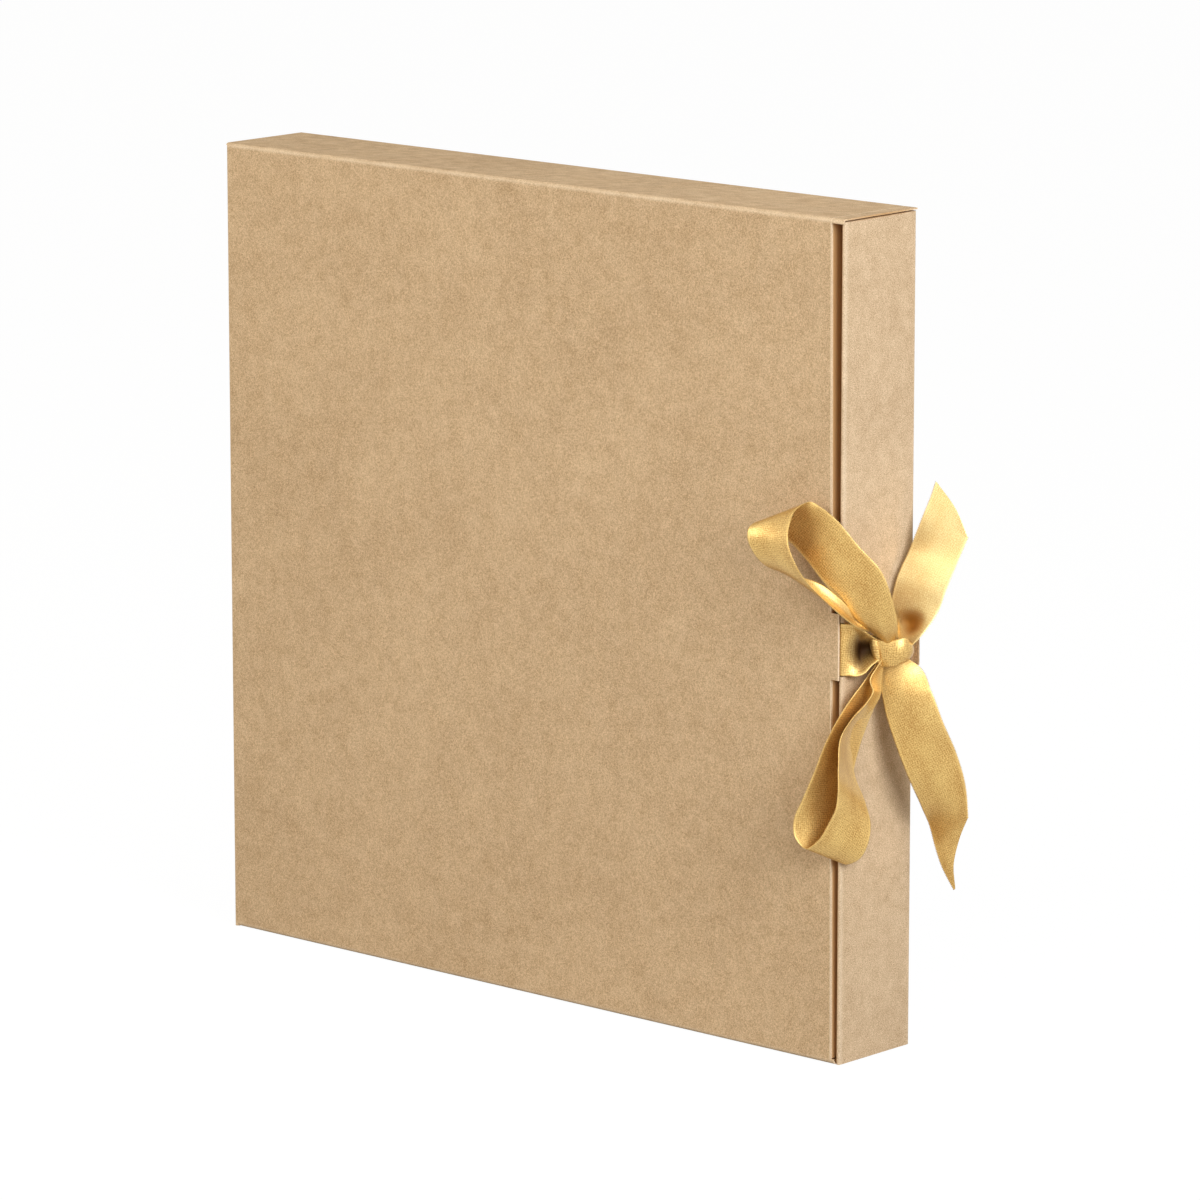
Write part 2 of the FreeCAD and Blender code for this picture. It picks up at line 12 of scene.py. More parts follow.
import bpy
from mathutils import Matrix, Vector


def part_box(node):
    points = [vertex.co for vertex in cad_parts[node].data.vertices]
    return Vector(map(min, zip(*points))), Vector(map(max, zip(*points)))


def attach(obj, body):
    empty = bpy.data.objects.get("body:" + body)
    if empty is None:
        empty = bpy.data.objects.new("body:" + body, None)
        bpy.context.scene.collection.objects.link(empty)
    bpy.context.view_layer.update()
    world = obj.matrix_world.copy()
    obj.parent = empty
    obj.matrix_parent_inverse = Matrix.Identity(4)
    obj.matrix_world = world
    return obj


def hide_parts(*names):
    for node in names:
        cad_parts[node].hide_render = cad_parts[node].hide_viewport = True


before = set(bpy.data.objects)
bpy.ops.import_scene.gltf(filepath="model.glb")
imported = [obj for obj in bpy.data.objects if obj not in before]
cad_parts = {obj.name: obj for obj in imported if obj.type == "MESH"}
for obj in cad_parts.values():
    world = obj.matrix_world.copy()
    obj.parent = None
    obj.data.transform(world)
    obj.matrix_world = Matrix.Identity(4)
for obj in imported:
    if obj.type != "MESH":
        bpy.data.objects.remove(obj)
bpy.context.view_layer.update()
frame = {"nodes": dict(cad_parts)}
nodes = frame["nodes"]

# %% Tools and units
import math

import bpy
import numpy as np
from mathutils import Vector

# Lengths are written in millimetres and turned into Blender's metres.
MM = 0.001
WIDTH, HEIGHT, DEPTH = 330, 330, 44
SIDE, FRONT, BACK = WIDTH / 2, -DEPTH / 2, DEPTH / 2
# The loaded pieces come selected, and are let go so that the tools below act only on new pieces.
bpy.ops.object.select_all(action="DESELECT")
print("box of", WIDTH, "x", HEIGHT, "x", DEPTH, "mm")

# %% [markdown]
# ## The camera
#
# In the photograph the upright edges of the box stay upright, and a camera far
# away with a long lens comes close to that. It could be guessed by eye, but the
# seven corners of the box that show fix it to within a few pixels, so its
# angles, distance and lens were worked out from them and are written here.

# %% Camera at the photograph's angle
CAMERA_TURN = math.radians(42.073)
CAMERA_RISE = math.radians(11.454)
CAMERA_DISTANCE = 2672.6 * MM
CAMERA_LENS = 200.12
AIM_RIGHT, AIM_UP = 15.98 * MM, 158.06 * MM
to_camera = Vector((
    math.sin(CAMERA_TURN) * math.cos(CAMERA_RISE),
    -math.cos(CAMERA_TURN) * math.cos(CAMERA_RISE),
    math.sin(CAMERA_RISE),
))
to_right = Vector((math.cos(CAMERA_TURN), math.sin(CAMERA_TURN), 0))
aim = to_right * AIM_RIGHT + Vector((0, 0, AIM_UP))
bpy.ops.object.camera_add(
    location=aim + to_camera * CAMERA_DISTANCE,
    rotation=(-to_camera).to_track_quat("-Z", "Y").to_euler(),
)
camera = bpy.context.object
camera.data.sensor_width = 36
camera.data.lens = CAMERA_LENS
bpy.context.scene.camera = camera
print("camera at", [round(x, 3) for x in camera.location])

# %% [markdown]
# ## Shader sums written as plain sums
#
# A procedural material is a sum of many small patterns. Linking every Math
# node by hand hides what is added to what. So one small class wraps a node's
# output, and each + or * on it adds the node that works it out. Colours need
# Mix nodes instead, because a Math node would turn them grey.


# %% A socket that takes part in sums
class Shade:
    """The output of a node. A sum or product of it is a new one."""

    def __init__(self, nodes, socket):
        self.nodes = nodes
        self.socket = socket

    def math(self, operation, *terms):
        values = dict(enumerate(terms))
        return self.nodes.node("ShaderNodeMath", {"operation": operation}, values)

    def __add__(self, other):
        return self.math("ADD", self, other)

    __radd__ = __add__

    def __sub__(self, other):
        return self.math("SUBTRACT", self, other)

    def __rsub__(self, other):
        return self.math("SUBTRACT", other, self)

    def __mul__(self, other):
        return self.math("MULTIPLY", self, other)

    __rmul__ = __mul__

    def __truediv__(self, other):
        return self.math("DIVIDE", self, other)

    def size(self):
        return self.math("ABSOLUTE", self)

    def larger(self, other):
        return self.math("MAXIMUM", self, other)

    def limited(self):
        """Kept between 0 and 1."""
        return self.nodes.node("ShaderNodeClamp", {}, {"Value": self})

    def above(self, low, high):
        """0 below low, 1 above high, and a soft ramp between them."""
        settings = {"interpolation_type": "SMOOTHSTEP"}
        values = {"Value": self, "From Min": low, "From Max": high}
        return self.nodes.node("ShaderNodeMapRange", settings, values)


# %% [markdown]
# ## Adding nodes
#
# The card, the ribbon, the floor and the light around them are all trees of
# nodes. Each tree could be wired by hand in its own way. One method that takes
# a node's type, its settings and its values keeps them all alike, and a finish
# is such a tree that belongs to a new material.


# %% A tree to which nodes are added
class Nodes:
    """A node tree, and the few ways in which this lesson adds to it."""

    def __init__(self, tree):
        self.tree = tree

    def node(self, kind, settings=None, values=None, out=0):
        """Adds a node: its settings come first, then its sockets' values or links."""
        node = self.tree.nodes.new(kind)
        for name, value in (settings or {}).items():
            setattr(node, name, value)
        for name, value in (values or {}).items():
            self.feed(node.inputs[name], value)
        return Shade(self, node.outputs[out])

    def feed(self, target, value):
        if isinstance(value, Shade):
            self.tree.links.new(value.socket, target)
        else:
            target.default_value = value

    def mix(self, amount, first, second):
        """A colour between two others. A Mix node's colours are its sockets 6 and 7."""
        colours = {0: amount, 6: first, 7: second}
        return self.node("ShaderNodeMix", {"data_type": "RGBA"}, colours, out=2)

    def noise(self, place, spots_per_metre, detail=2.0, roughness=0.5):
        values = {
            "Vector": place, "Scale": spots_per_metre,
            "Detail": detail, "Roughness": roughness,
        }
        return self.node("ShaderNodeTexNoise", {}, values)

    def stretched(self, place, turn, spot):
        """The place counted in spots of a given size, in metres, turned to one side."""
        values = {"Vector": place, "Rotation": turn, "Scale": spot}
        return self.node("ShaderNodeMapping", {"vector_type": "TEXTURE"}, values)

    def split(self, place):
        """The three coordinates of a place, in millimetres."""
        return [
            self.node("ShaderNodeSeparateXYZ", {}, {0: place}, out=axis) * 1000
            for axis in "XYZ"
        ]

    def bump(self, height, strength, distance, **normal):
        """The relief of a height, on top of another relief where one is given."""
        values = {"Height": height, "Strength": strength, "Distance": distance}
        return self.node("ShaderNodeBump", {}, {**values, **normal})


class Finish(Nodes):
    """A new material with its Principled shader."""

    def __init__(self, name):
        self.material = bpy.data.materials.new(name)
        self.material.use_nodes = True
        super().__init__(self.material.node_tree)
        self.shader = self.tree.nodes["Principled BSDF"]

    def set(self, **values):
        for name, value in values.items():
            self.feed(self.shader.inputs[name.replace("_", " ")], value)


# %% Colours as a picture shows them
def from_screen(red, green, blue):
    """A shader colour from the numbers that a picture shows, 0 to 255."""
    def linear(level):
        share = level / 255
        return share / 12.92 if share <= 0.04045 else ((share + 0.055) / 1.055) ** 2.4
    return (linear(red), linear(green), linear(blue), 1)


print("middle grey on the screen is", round(from_screen(128, 128, 128)[0], 3), "in a shader")

# %% [markdown]
# ## Kraft card
#
# Kraft card is made of long brown wood fibres. Close by it shows fine light
# and dark specks half a millimetre wide, short fibres that lie all ways, a
# few dark slivers, and from afar soft clouds some centimetres across. A photo
# of paper would show all this, but a pattern worked out from noise has no
# seams, needs no picture and covers every face at its true size. Where the
# card is folded or cut, its face is worn lighter, and a painted highlight on
# the same line stands for the light that the edge catches, so every card piece
# also gets its own mask of light edges. Gaps and slits get painted shade.

# %% The kraft finish
KRAFT_LIGHT, KRAFT_DARK = from_screen(233, 200, 157), from_screen(170, 134, 92)
KRAFT_SLIVER = from_screen(128, 94, 62)
# The pale colour of worn folds and cuts, which also paints their highlight.
KRAFT_WORN_EDGE_HIGHLIGHT = from_screen(244, 220, 187)
# The deeper brown of painted shade in gaps and slits.
KRAFT_PAINTED_SHADE = from_screen(200, 154, 102)
# Spots per metre: clouds of 4 cm, blotches of 6 mm and specks of half a millimetre.
CLOUDS, BLOTCHES, SPECKS = 26, 170, 2200
# How long and wide one fibre, one dark sliver and one streak is.
FIBRE = (1.9 * MM, 0.35 * MM, 0.35 * MM)
SLIVER = (1.6 * MM, 0.6 * MM, 0.6 * MM)
STREAK = (7 * MM, 2.2 * MM, 2.2 * MM)
FIBRE_TURNS = (0.4, 1.5, 2.6)


def kraft(name, details, light=KRAFT_LIGHT, dark=KRAFT_DARK):
    """Kraft card. details gives masks of worn edges with a painted highlight, of painted shade
    in gaps and slits, and of streaks.
    """
    finish = Finish(name)
    place = finish.node("ShaderNodeTexCoord", out="Object")
    clouds = finish.noise(place, CLOUDS, 3, 0.6)
    blotches = finish.noise(place, BLOTCHES, 2)
    specks = finish.noise(place, SPECKS, 2, 0.7)
    fibres = 0
    for turn in FIBRE_TURNS:
        fibres = fibres + finish.noise(finish.stretched(place, (0.5, turn, 0.7), FIBRE), 1, 1)
    streaks = finish.noise(finish.stretched(place, (0, 0, 0.35), STREAK), 1, 3, 0.65)
    slivers = finish.noise(finish.stretched(place, (0.2, 1.2, 0.9), SLIVER), 1, 0)
    worn_and_highlit, shaded, streaked = details(finish, place)
    # Each pattern swings about its own middle, and all swing about 0.5 together.
    tone = (
        0.5
        + (clouds - 0.5) * 0.45
        + (blotches - 0.5) * 0.5
        + (specks - 0.5) * 2.5
        + (fibres - len(FIBRE_TURNS) / 2) * 0.5
        + (streaks - 0.5) * 1.7 * streaked
    )
    colour = finish.mix(tone.limited(), dark, light)
    colour = finish.mix(slivers.above(0.83, 0.87) * 0.45, colour, KRAFT_SLIVER)
    # Worn folds and cut edges turn pale, and the same stripes carry a painted highlight.
    colour = finish.mix(((specks + 0.5) * worn_and_highlit).limited(), colour, KRAFT_WORN_EDGE_HIGHLIGHT)
    # Painted shade in gaps and slits.
    colour = finish.mix(((specks * 0.5 + 0.75) * shaded).limited(), colour, KRAFT_PAINTED_SHADE)
    finish.set(
        Base_Color=colour,
        Normal=finish.bump(specks + fibres * 0.5 + blotches * 0.6, 0.3, 0.1 * MM),
        Roughness=0.8 + (specks - 0.5) * 0.3,
        Specular_IOR_Level=0.12,
    )
    return finish.material


# %% [markdown]
# ## Worn folds with a painted highlight, and painted shade in gaps
#
# A fold breaks the card's outer fibres, and a cut shows its pale core, so both
# look like light lines about a millimetre wide, and these lines also carry a
# painted highlight for the light that a rounded fold or a cut edge catches. They
# could be thin pieces of their own, but they are only a change of colour, so each
# is a stripe in the finish, worked out from its distance to the edge. The flap
# behind the cover's edge and the cut ends of the walls lie in deep gaps, where the
# light that comes back from card is browner, so they are painted a deeper brown:
# painted shade.

# %% Stripes along edges
# Half widths of the light lines of wear and painted highlight, in millimetres: at folds, rolled
# edges and cuts.
TOP_FOLD, BOTTOM_FOLD, HINGE_FOLD, FRONT_FOLD = 1.7, 1.4, 1.2, 1.3
ROLLED, CORNER = 1.8, 1.4
CUT, TAB_CUT, REAR_CUT = 0.5, 0.45, 0.6
# Spots per metre of the wear that makes a rubbed fold uneven.
WEAR = 90


def stripe(distance, half_width):
    """1 on a line and 0 past its half width, from the distance to that line."""
    return (1 - distance.size() / half_width).limited()


def between(value, low, high, soft):
    """1 between two places, with a soft ramp inside each."""
    return (value - low).above(0, soft) * (high - value).above(0, soft)


def bulge(y):
    """1 in the middle of the box's depth and 0 at its front and back."""
    return 1 - y * y / (BACK * BACK)


# %% Masks of the cover
# How far the cover's free edge stands in from the side, at its top and bottom.
COVER_EDGE_TOP, COVER_EDGE_BOTTOM = 5.8, 3.4
TAB_BOTTOM, TAB_TOP = 152, 178
# The closing flap stands between the top and bottom walls, behind the front.
WALL_CLEAR, FLAP_LEFT, FLAP_FRONT = 1.2, 156, FRONT + 0.7


def cover_details(finish, place):
    x, y, z = finish.split(place)
    uneven = finish.noise(place, WEAR, 3, 0.7) * 1.5 + 0.1
    slant = (COVER_EDGE_TOP - COVER_EDGE_BOTTOM) / HEIGHT
    to_free_edge = x - (SIDE - COVER_EDGE_BOTTOM) + z * slant
    # Light stripes at the folds, the hinge, the free edge, the tab and the rear cut: worn card
    # with a painted highlight.
    level_folds = stripe(z - (HEIGHT - 1), TOP_FOLD).larger(stripe(z - 1, BOTTOM_FOLD))
    folds = level_folds * uneven * 0.6
    hinge = stripe(x + SIDE - 0.6, HINGE_FOLD) * uneven * 0.45
    top_fold = stripe(y - (FRONT + 0.8), FRONT_FOLD) * uneven * 0.4
    beside_tab = (z - TAB_BOTTOM).above(-1, 0) * (TAB_TOP - z).above(-1, 0)
    free_edge = stripe(to_free_edge + 0.25, CUT) * (1 - beside_tab)
    tab = stripe(x - (SIDE - 1), TAB_CUT) * beside_tab
    rear_cut = stripe(y - BACK, REAR_CUT) * 0.5
    worn_and_highlit = folds
    for line in (hinge, top_fold, free_edge, tab, rear_cut):
        worn_and_highlit = worn_and_highlit.larger(line)
    # Painted shade on the flap in the gap behind the cover's free edge, and a painted dark slit
    # at the top wall's cut end, darkest in the middle of the depth.
    flap = (y - FLAP_FRONT).above(0, 0.5) * (x - FLAP_LEFT).above(0, 1)
    flap = flap * between(z, WALL_CLEAR, HEIGHT - WALL_CLEAR, 0.6)
    right_cut_shade = (x - (SIDE - 0.15)).above(0, 0.1) * bulge(y) * 0.8
    streaked = (z - (HEIGHT - 0.3)).above(0, 0.1)
    return worn_and_highlit, flap.larger(right_cut_shade), streaked


# %% Masks of the case, the rack and the drawers
def case_details(finish, place):
    x, y, z = finish.split(place)
    # A painted highlight along the side wall's rolled front edge, and at its back corner worn
    # card with a painted highlight.
    rolled = stripe(y - (FRONT + 1.8), ROLLED) * 0.35
    corner = stripe(y - (BACK - 0.7), CORNER) * stripe(x.size() - (SIDE - 0.4), CORNER) * 0.5
    # Painted shade inside the gap behind the cover's edge, and a painted dark slit along the top
    # edge of the side wall, darkest in the middle of the depth.
    inside = (SIDE - 0.9 - x).above(0, 0.6) * (x - 150).above(0, 1)
    inside = inside * (-12 - y).above(0, 2)
    rim = stripe(z - HEIGHT + 1.1, CUT) * bulge(y) * 0.7
    return rolled.larger(corner), inside.larger(rim), 0


def rack_details(finish, place):
    y = finish.split(place)[1]
    return stripe(y - (FRONT + 3.1), CUT) * 0.8, 0, 0


def drawer_details(finish, place):
    y = finish.split(place)[1]
    return stripe(y - (FRONT + 2.9), CUT) * 0.6, 0, 0


# %% [markdown]
# ## Dressing the card
#
# The cover and the case are brown board of nearly one colour; the case's is
# written a little lighter and paler, painted light for its brighter side wall.
# The rack and the drawers are taken to be slightly greyer cartons. One finish
# for all would be quicker, but the eye reads small differences between sheets
# of card, and each sheet has edges of its own. The imported nodes keep their
# shape: only their material changes.

# %% Dress the card pieces
CARD_FINISHES = {
    ("lid",): kraft("kraft_cover", cover_details),
    # The case's lighter, paler card is painted light for its brighter side wall.
    ("tray",): kraft(
        "kraft_case", case_details, from_screen(235, 206, 169), from_screen(171, 139, 102)),
    ("rack", "shelf", "divider"): kraft(
        "kraft_rack", rack_details, from_screen(220, 186, 146), from_screen(160, 126, 92)),
    ("drawer",): kraft(
        "kraft_drawer", drawer_details, from_screen(228, 196, 158), from_screen(172, 138, 104)),
}
dressed = 0
for name, node in nodes.items():
    for beginnings, material in CARD_FINISHES.items():
        if name.startswith(beginnings):
            node.data.materials.clear()
            node.data.materials.append(material)
            dressed += 1
print("dressed", dressed, "nodes in", len(CARD_FINISHES), "finishes")

# %% [markdown]
# ## Satin ribbon
#
# The ribbon is a woven band 20 mm wide. Satin has long threads that float on
# its face, so it gleams almost like metal, with soft light along each curve.
# It could be plain cloth with a sheen, but then the gleam would stay white, so
# most of it is mirrored in the band's own gold. The threads run along the
# band wherever it bends, so every pattern reads the band's own map and not
# its place in the room. Two places beside the knot are pinched so deep that
# little light gets in and out, so they are painted darker: painted shade.

# %% The satin finish
SATIN_LIGHT, SATIN_DEEP = from_screen(241, 206, 128), from_screen(174, 124, 56)
# The upper tail is among the ribbon's brightest parts in the photograph, and the
# gleam alone doesn't make it so bright, so its satin is painted lighter: a painted highlight.
TAIL_HIGHLIT_LIGHT, TAIL_HIGHLIT_DEEP = from_screen(254, 230, 164), from_screen(220, 178, 106)
RIBBON_WIDTH = 20
# How wide and long one thread, one square of the weave and one soft fold is.
THREAD = (0.22 * MM, 2.4 * MM, 1)
WEAVE = (0.6 * MM, 0.6 * MM, 1)
SOFT_FOLD = (8 * MM, 17 * MM, 1)
GRAIN = 1800
SATIN_GLEAM = 0.62


def satin(name, light, deep, painted_shade_spot=None):
    """Woven satin, which reads the band's own map: across, then along, in metres.

    The last argument, where given, is a pinched place painted in shade: its
    middle across and along and its half sizes, in millimetres, and its colour.
    """
    finish = Finish(name)
    place = finish.node("ShaderNodeTexCoord", out="UV")
    straight = (0, 0, 0)
    threads = finish.noise(finish.stretched(place, straight, THREAD), 1, 1)
    squares = finish.stretched(place, (0, 0, math.radians(38)), WEAVE)
    weave = finish.node("ShaderNodeTexChecker", {}, {"Vector": squares, "Scale": 1.0}, out="Fac")
    grain = finish.noise(place, GRAIN, 2, 0.7)
    folds = finish.noise(finish.stretched(place, straight, SOFT_FOLD), 1, 2)
    tone = (
        0.5
        + (threads - 0.5) * 0.7
        + (grain - 0.5) * 2.4
        + (weave - 0.5) * 0.3
        # Light and dark zones along the band, random in place, are painted sheen; the same soft
        # folds also give the relief.
        + (folds - 0.5) * 0.8
    )
    across, along = finish.split(place)[:2]
    selvage = (across - RIBBON_WIDTH / 2).size().above(9.0, 9.3)
    colour = finish.mix(tone.limited(), deep, light)
    colour = finish.mix(selvage * 0.35, colour, light)
    # A pinched place gets painted shade, darkest in its middle.
    if painted_shade_spot:
        middle_across, middle_along, half_across, half_along, shade = painted_shade_spot
        beside = (across - middle_across) / half_across
        before = (along - middle_along) / half_along
        depth = (1 - beside * beside - before * before).above(-0.5, 1.0)
        colour = finish.mix(depth, colour, shade)
    fine = finish.bump(threads * 0.4 + weave * 0.3 + grain * 0.6, 0.6, 0.03 * MM)
    finish.set(
        Base_Color=colour,
        Normal=finish.bump(folds, 0.2, 0.9 * MM, Normal=fine),
        Metallic=SATIN_GLEAM,
        Coat_Weight=0.12,
        Coat_Roughness=0.35,
        Roughness=0.35 + (grain - 0.5) * 0.15 + selvage * 0.12,
    )
    return finish.material


# Painted shade in two pinched places: the front strap's hollow by the knot and the upper tail's
# dimple.
FRONT_RECESS_SHADE = (10, 43, 9, 8.4, from_screen(56, 32, 12))
TAIL_RECESS_SHADE = (10, 10.5, 7.5, 5.4, from_screen(176, 118, 44))
satin_plain = satin("gold_satin", SATIN_LIGHT, SATIN_DEEP)
satin_front_shaded = satin("gold_satin_front", SATIN_LIGHT, SATIN_DEEP, FRONT_RECESS_SHADE)
satin_tail_highlit_shaded = satin("gold_satin_tail", TAIL_HIGHLIT_LIGHT, TAIL_HIGHLIT_DEEP, TAIL_RECESS_SHADE)
print("satin finishes:", satin_plain.name, satin_front_shaded.name, satin_tail_highlit_shaded.name)

# %% [markdown]
# ## Where the ribbon lies
#
# One ribbon comes out from under the cover's tongue and a second one from the
# back, and the two are tied in a bow with two loops and two tails. A cloth
# simulation could drop a band, but it can't tie this bow. So each length is
# laid through a few places. Where both edges of a loop or a tail show in the
# photograph, points on them were read there, and a scratch script turned these
# into places in space, from a width of 20 mm or, near the knot, from a guessed
# depth. Most of the places are that result rounded, some were then moved, and
# hidden ones are guessed. A pair of edges sets the band's path, its turn and its
# twist together. The two stand about 20 mm apart, and closer only near the knot
# and at a tail's cut end.

# %% The straps at the front and the back
# Each pair is one place of the band: its two edges, in millimetres from the
# middle of the knot.
KNOT = Vector((173.5, -1.5, 163))
FRONT_BAND = [
    ((-41.5, -19.65, 11), (-41.5, -19.65, -9)),
    ((-14, -19.65, 11), (-14, -19.65, -9)),
    ((-10.5, -19.4, 11), (-10.5, -19.4, -9)),
    ((-8.6, -18.9, 11), (-8.6, -18.9, -9)),
    ((-7, -17.5, 11), (-7, -17.5, -9)),
    ((-4.6, -15.6, 10.2), (-4.6, -15.6, -9.2)),
    ((-2.7, -12.8, 8), (-2.7, -12.8, -8.2)),
    ((-1.9, -9.3, 5.5), (-1.9, -9.3, -5.5)),
    ((-0.5, -5, 3), (-0.5, -5, -3)),
]
REAR_BAND = [
    ((-15.9, 22.6, 11), (-15.9, 22.6, -9)),
    ((-10.5, 22.5, 11), (-10.5, 22.5, -9)),
    ((-8.8, 21.8, 11), (-8.8, 21.8, -9)),
    ((-8, 20.4, 11), (-8, 20.4, -9)),
    ((-7.8, 18, 11), (-7.8, 18, -9)),
    ((-7.8, -0.5, 11), (-7.8, -0.5, -9)),
]
print("straps:", len(FRONT_BAND), "and", len(REAR_BAND), "places")

# %% The loops
UPPER_LOOP = [
    ((2.5, -1, 3), (-0.5, -4.5, 3.5)),
    ((7, -5.5, 11.5), (-2, -12.5, 9.5)),
    ((8.5, -10, 20.5), (-4.5, -17.5, 14.5)),
    ((7.5, -15, 32), (-8, -21, 20)),
    ((-1, -20, 43), (-13.5, -25.5, 28.5)),
    ((-8.5, -24, 52.5), (-21, -27.5, 37)),
    ((-14.5, -25.5, 56.5), (-28.5, -28, 42.5)),
    ((-20, -27, 58), (-37, -33, 49.5)),
    ((-21.5, -32.5, 55.5), (-39, -38, 48)),
    ((-19.5, -38.5, 50), (-38.5, -40, 43.5)),
    ((-16.5, -42, 43.5), (-35, -39, 37)),
    ((-12.5, -42.5, 37), (-31, -36.5, 33)),
    ((-9.5, -39, 30), (-19.5, -33.5, 30.5)),
    ((-7, -32.5, 23), (-12.5, -28, 27.5)),
    ((-4, -26, 16.5), (-7.5, -23, 22)),
    ((-2.5, -18.5, 11), (-4.5, -16.5, 15)),
    ((-2, -4.5, 4.5), (-4, -1, 5.5)),
    ((-1.5, -3, 2), (-3.5, 0.5, 2)),
]
LOWER_LOOP = [
    ((-2.5, -3, -2.5), (-3, 0, -3.5)),
    ((-3, -9, -8.5), (-3.5, -2.5, -11)),
    ((-1.5, -16.5, -12.5), (-3.5, -3.5, -17)),
    ((-2, -22.5, -17.5), (-4, -5, -22)),
    ((-3.5, -27.5, -24), (-5, -8, -28.5)),
    ((-6.5, -31, -33), (-6, -11.5, -37)),
    ((-9.5, -34.5, -45), (-7, -15, -49)),
    ((-12.5, -37, -54.5), (-7, -18, -58)),
    ((-15.5, -39, -64), (-7.2, -21.3, -68.7)),
    ((-14.5, -38.5, -71), (-7.6, -23.2, -78)),
    ((-12, -36, -74.5), (-6.6, -20, -82.4)),
    ((-7, -34, -70.5), (-1.3, -17.5, -80.3)),
    ((-3.5, -32.5, -64), (2.1, -16.1, -73.9)),
    ((-0.5, -32, -58), (1.7, -14.1, -66.6)),
    ((1, -32.5, -51.5), (-1, -14, -58.7)),
    ((1.5, -33, -40.5), (-5, -15.7, -48)),
    ((1.5, -31.5, -29.5), (-6.5, -15, -36)),
    ((4, -27, -22), (-4, -12.5, -26.5)),
    ((5.5, -21.5, -17.5), (-0.5, -9.5, -21.5)),
    ((5.5, -17.5, -13.5), (0.5, -7, -16.5)),
    ((1.5, -14.5, -10), (-1, -5, -12)),
    ((0, -8.5, -6), (-1.5, -3, -7)),
    ((-0.5, -3.5, -2.5), (-0.5, -1, -2.5)),
]
print("loops:", len(UPPER_LOOP), "and", len(LOWER_LOOP), "places")

# %% The tails
UPPER_TAIL = [
    ((1, 3, 0.5), (4, 4, -1)),
    ((-4, 8, 8), (8.5, 6.5, 4.5)),
    ((-6, 7.5, 15.5), (10.5, 14, 12.5)),
    ((-6, 10, 24.5), (12, 17, 20.5)),
    ((-5, 16.5, 35.5), (13.5, 21.5, 30.5)),
    ((-1, 20, 49.5), (15.5, 26.5, 41.5)),
    ((-0.1, 22.8, 55.5), (9.7, 26, 52)),
    ((0.4, 25.4, 61.5), (1, 25.5, 61)),
]
LOWER_TAIL = [
    ((-2.5, 0, -3.5), (2.5, 2.5, -2.5)),
    ((-3.4, -1.9, -11.5), (7, 8, -7.5)),
    ((-1.3, -2.1, -23.5), (12.8, 8.2, -16)),
    ((1.6, 0.1, -35.5), (16.3, 11, -28)),
    ((4.4, 4.5, -49), (18.5, 17.2, -42)),
    ((4, 14.3, -64), (20.3, 21, -56.5)),
    ((2.3, 21.5, -73.5), (20.6, 22, -67.5)),
    ((5.5, 21, -81), (15.5, 23.5, -76.5)),
    ((8.5, 21.5, -88.5), (13.5, 22.5, -86.5)),
    ((13, 23.5, -97.5), (13.5, 23.5, -97)),
]
print("tails:", len(UPPER_TAIL), "and", len(LOWER_TAIL), "places")

# %% [markdown]
# ## From places to a smooth band
#
# Between two places a ribbon bends in one smooth curve, because its threads
# are stiff along the band. Straight lines between the places would
# show as creases. So both edges and the hollow between them follow one curve
# that passes through every place. Only where a tail is cut off at a slant does
# its edge turn a sharp corner, and the curve may do so there too.

# %% A smooth curve through the places
def unit(vectors):
    return vectors / np.maximum(np.linalg.norm(vectors, axis=-1, keepdims=True), 1e-9)


def spline_rows(along, data, knots, corner=None):
    """Rows of data at the given lengths, on a smooth curve through the rows.

    At the row corner the second edge turns sharply, so it gets two slopes there.
    """
    leaving = np.gradient(data, along, axis=0)
    arriving = leaving.copy()
    if corner is not None:
        second_edge = slice(3, 6)
        steps = np.diff(data, axis=0) / np.diff(along)[:, None]
        arriving[corner, second_edge] = steps[corner - 1, second_edge]
        leaving[corner, second_edge] = steps[corner, second_edge]
    index = np.clip(np.searchsorted(along, knots, side="right") - 1, 0, len(along) - 2)
    gap = (along[index + 1] - along[index])[:, None]
    share = (knots - along[index])[:, None] / gap
    square, cube = share ** 2, share ** 3
    return (
        data[index] * (2 * cube - 3 * square + 1)
        + leaving[index] * gap * (cube - 2 * square + share)
        + data[index + 1] * (3 * square - 2 * cube)
        + arriving[index + 1] * gap * (cube - square)
    )


# %% Columns across the band
RIBBON_THICK = 0.32
# The loops of thread along both edges stand this far apart, and out and in by this.
PICOT = 0.66
PICOT_OUT, PICOT_IN = 0.42, -0.14
# The columns are close at the edges, for the loops of thread.
COLUMNS = np.array([
    0, 0.35, 0.8, 1.8, 3.4, 5.2, 7.2, 9.2, 10.8, 12.8, 14.8, 16.6, 18.2, 19.2, 19.65, 20,
])
# A band folded in half bends within this share of its width, with close columns too.
FOLD_SHARE = 0.04
FOLD_ROUND = 0.03
FOLD_COLUMNS = np.array([
    0, 0.35, 0.8, 2, 3.5, 5, 6.5, 8, 9.2, 9.4, 9.6, 9.8, 10,
    10.2, 10.4, 10.6, 10.8, 12, 13.5, 15, 16.5, 18, 19.2, 19.65, 20,
])


def section(doubled):
    """The band's columns, as shares of its width, how far over each lies, and its layer.

    With doubled, a gap, the band is folded in half along its middle, so that its
    two layers lie that far apart and both edges come to the first of each pair.
    """
    if doubled is None:
        share = COLUMNS / RIBBON_WIDTH
        return share, share, np.zeros(len(share))
    share = FOLD_COLUMNS / RIBBON_WIDTH
    bend = np.clip((share - 0.5) / FOLD_SHARE, -1, 1) * math.pi / 2
    from_fold = np.maximum((2 * share - 1) * np.sign(share - 0.5) - FOLD_SHARE, 0)
    over = 1 - from_fold + np.cos(bend) * FOLD_ROUND
    return share, over, np.sin(bend) * doubled / 2


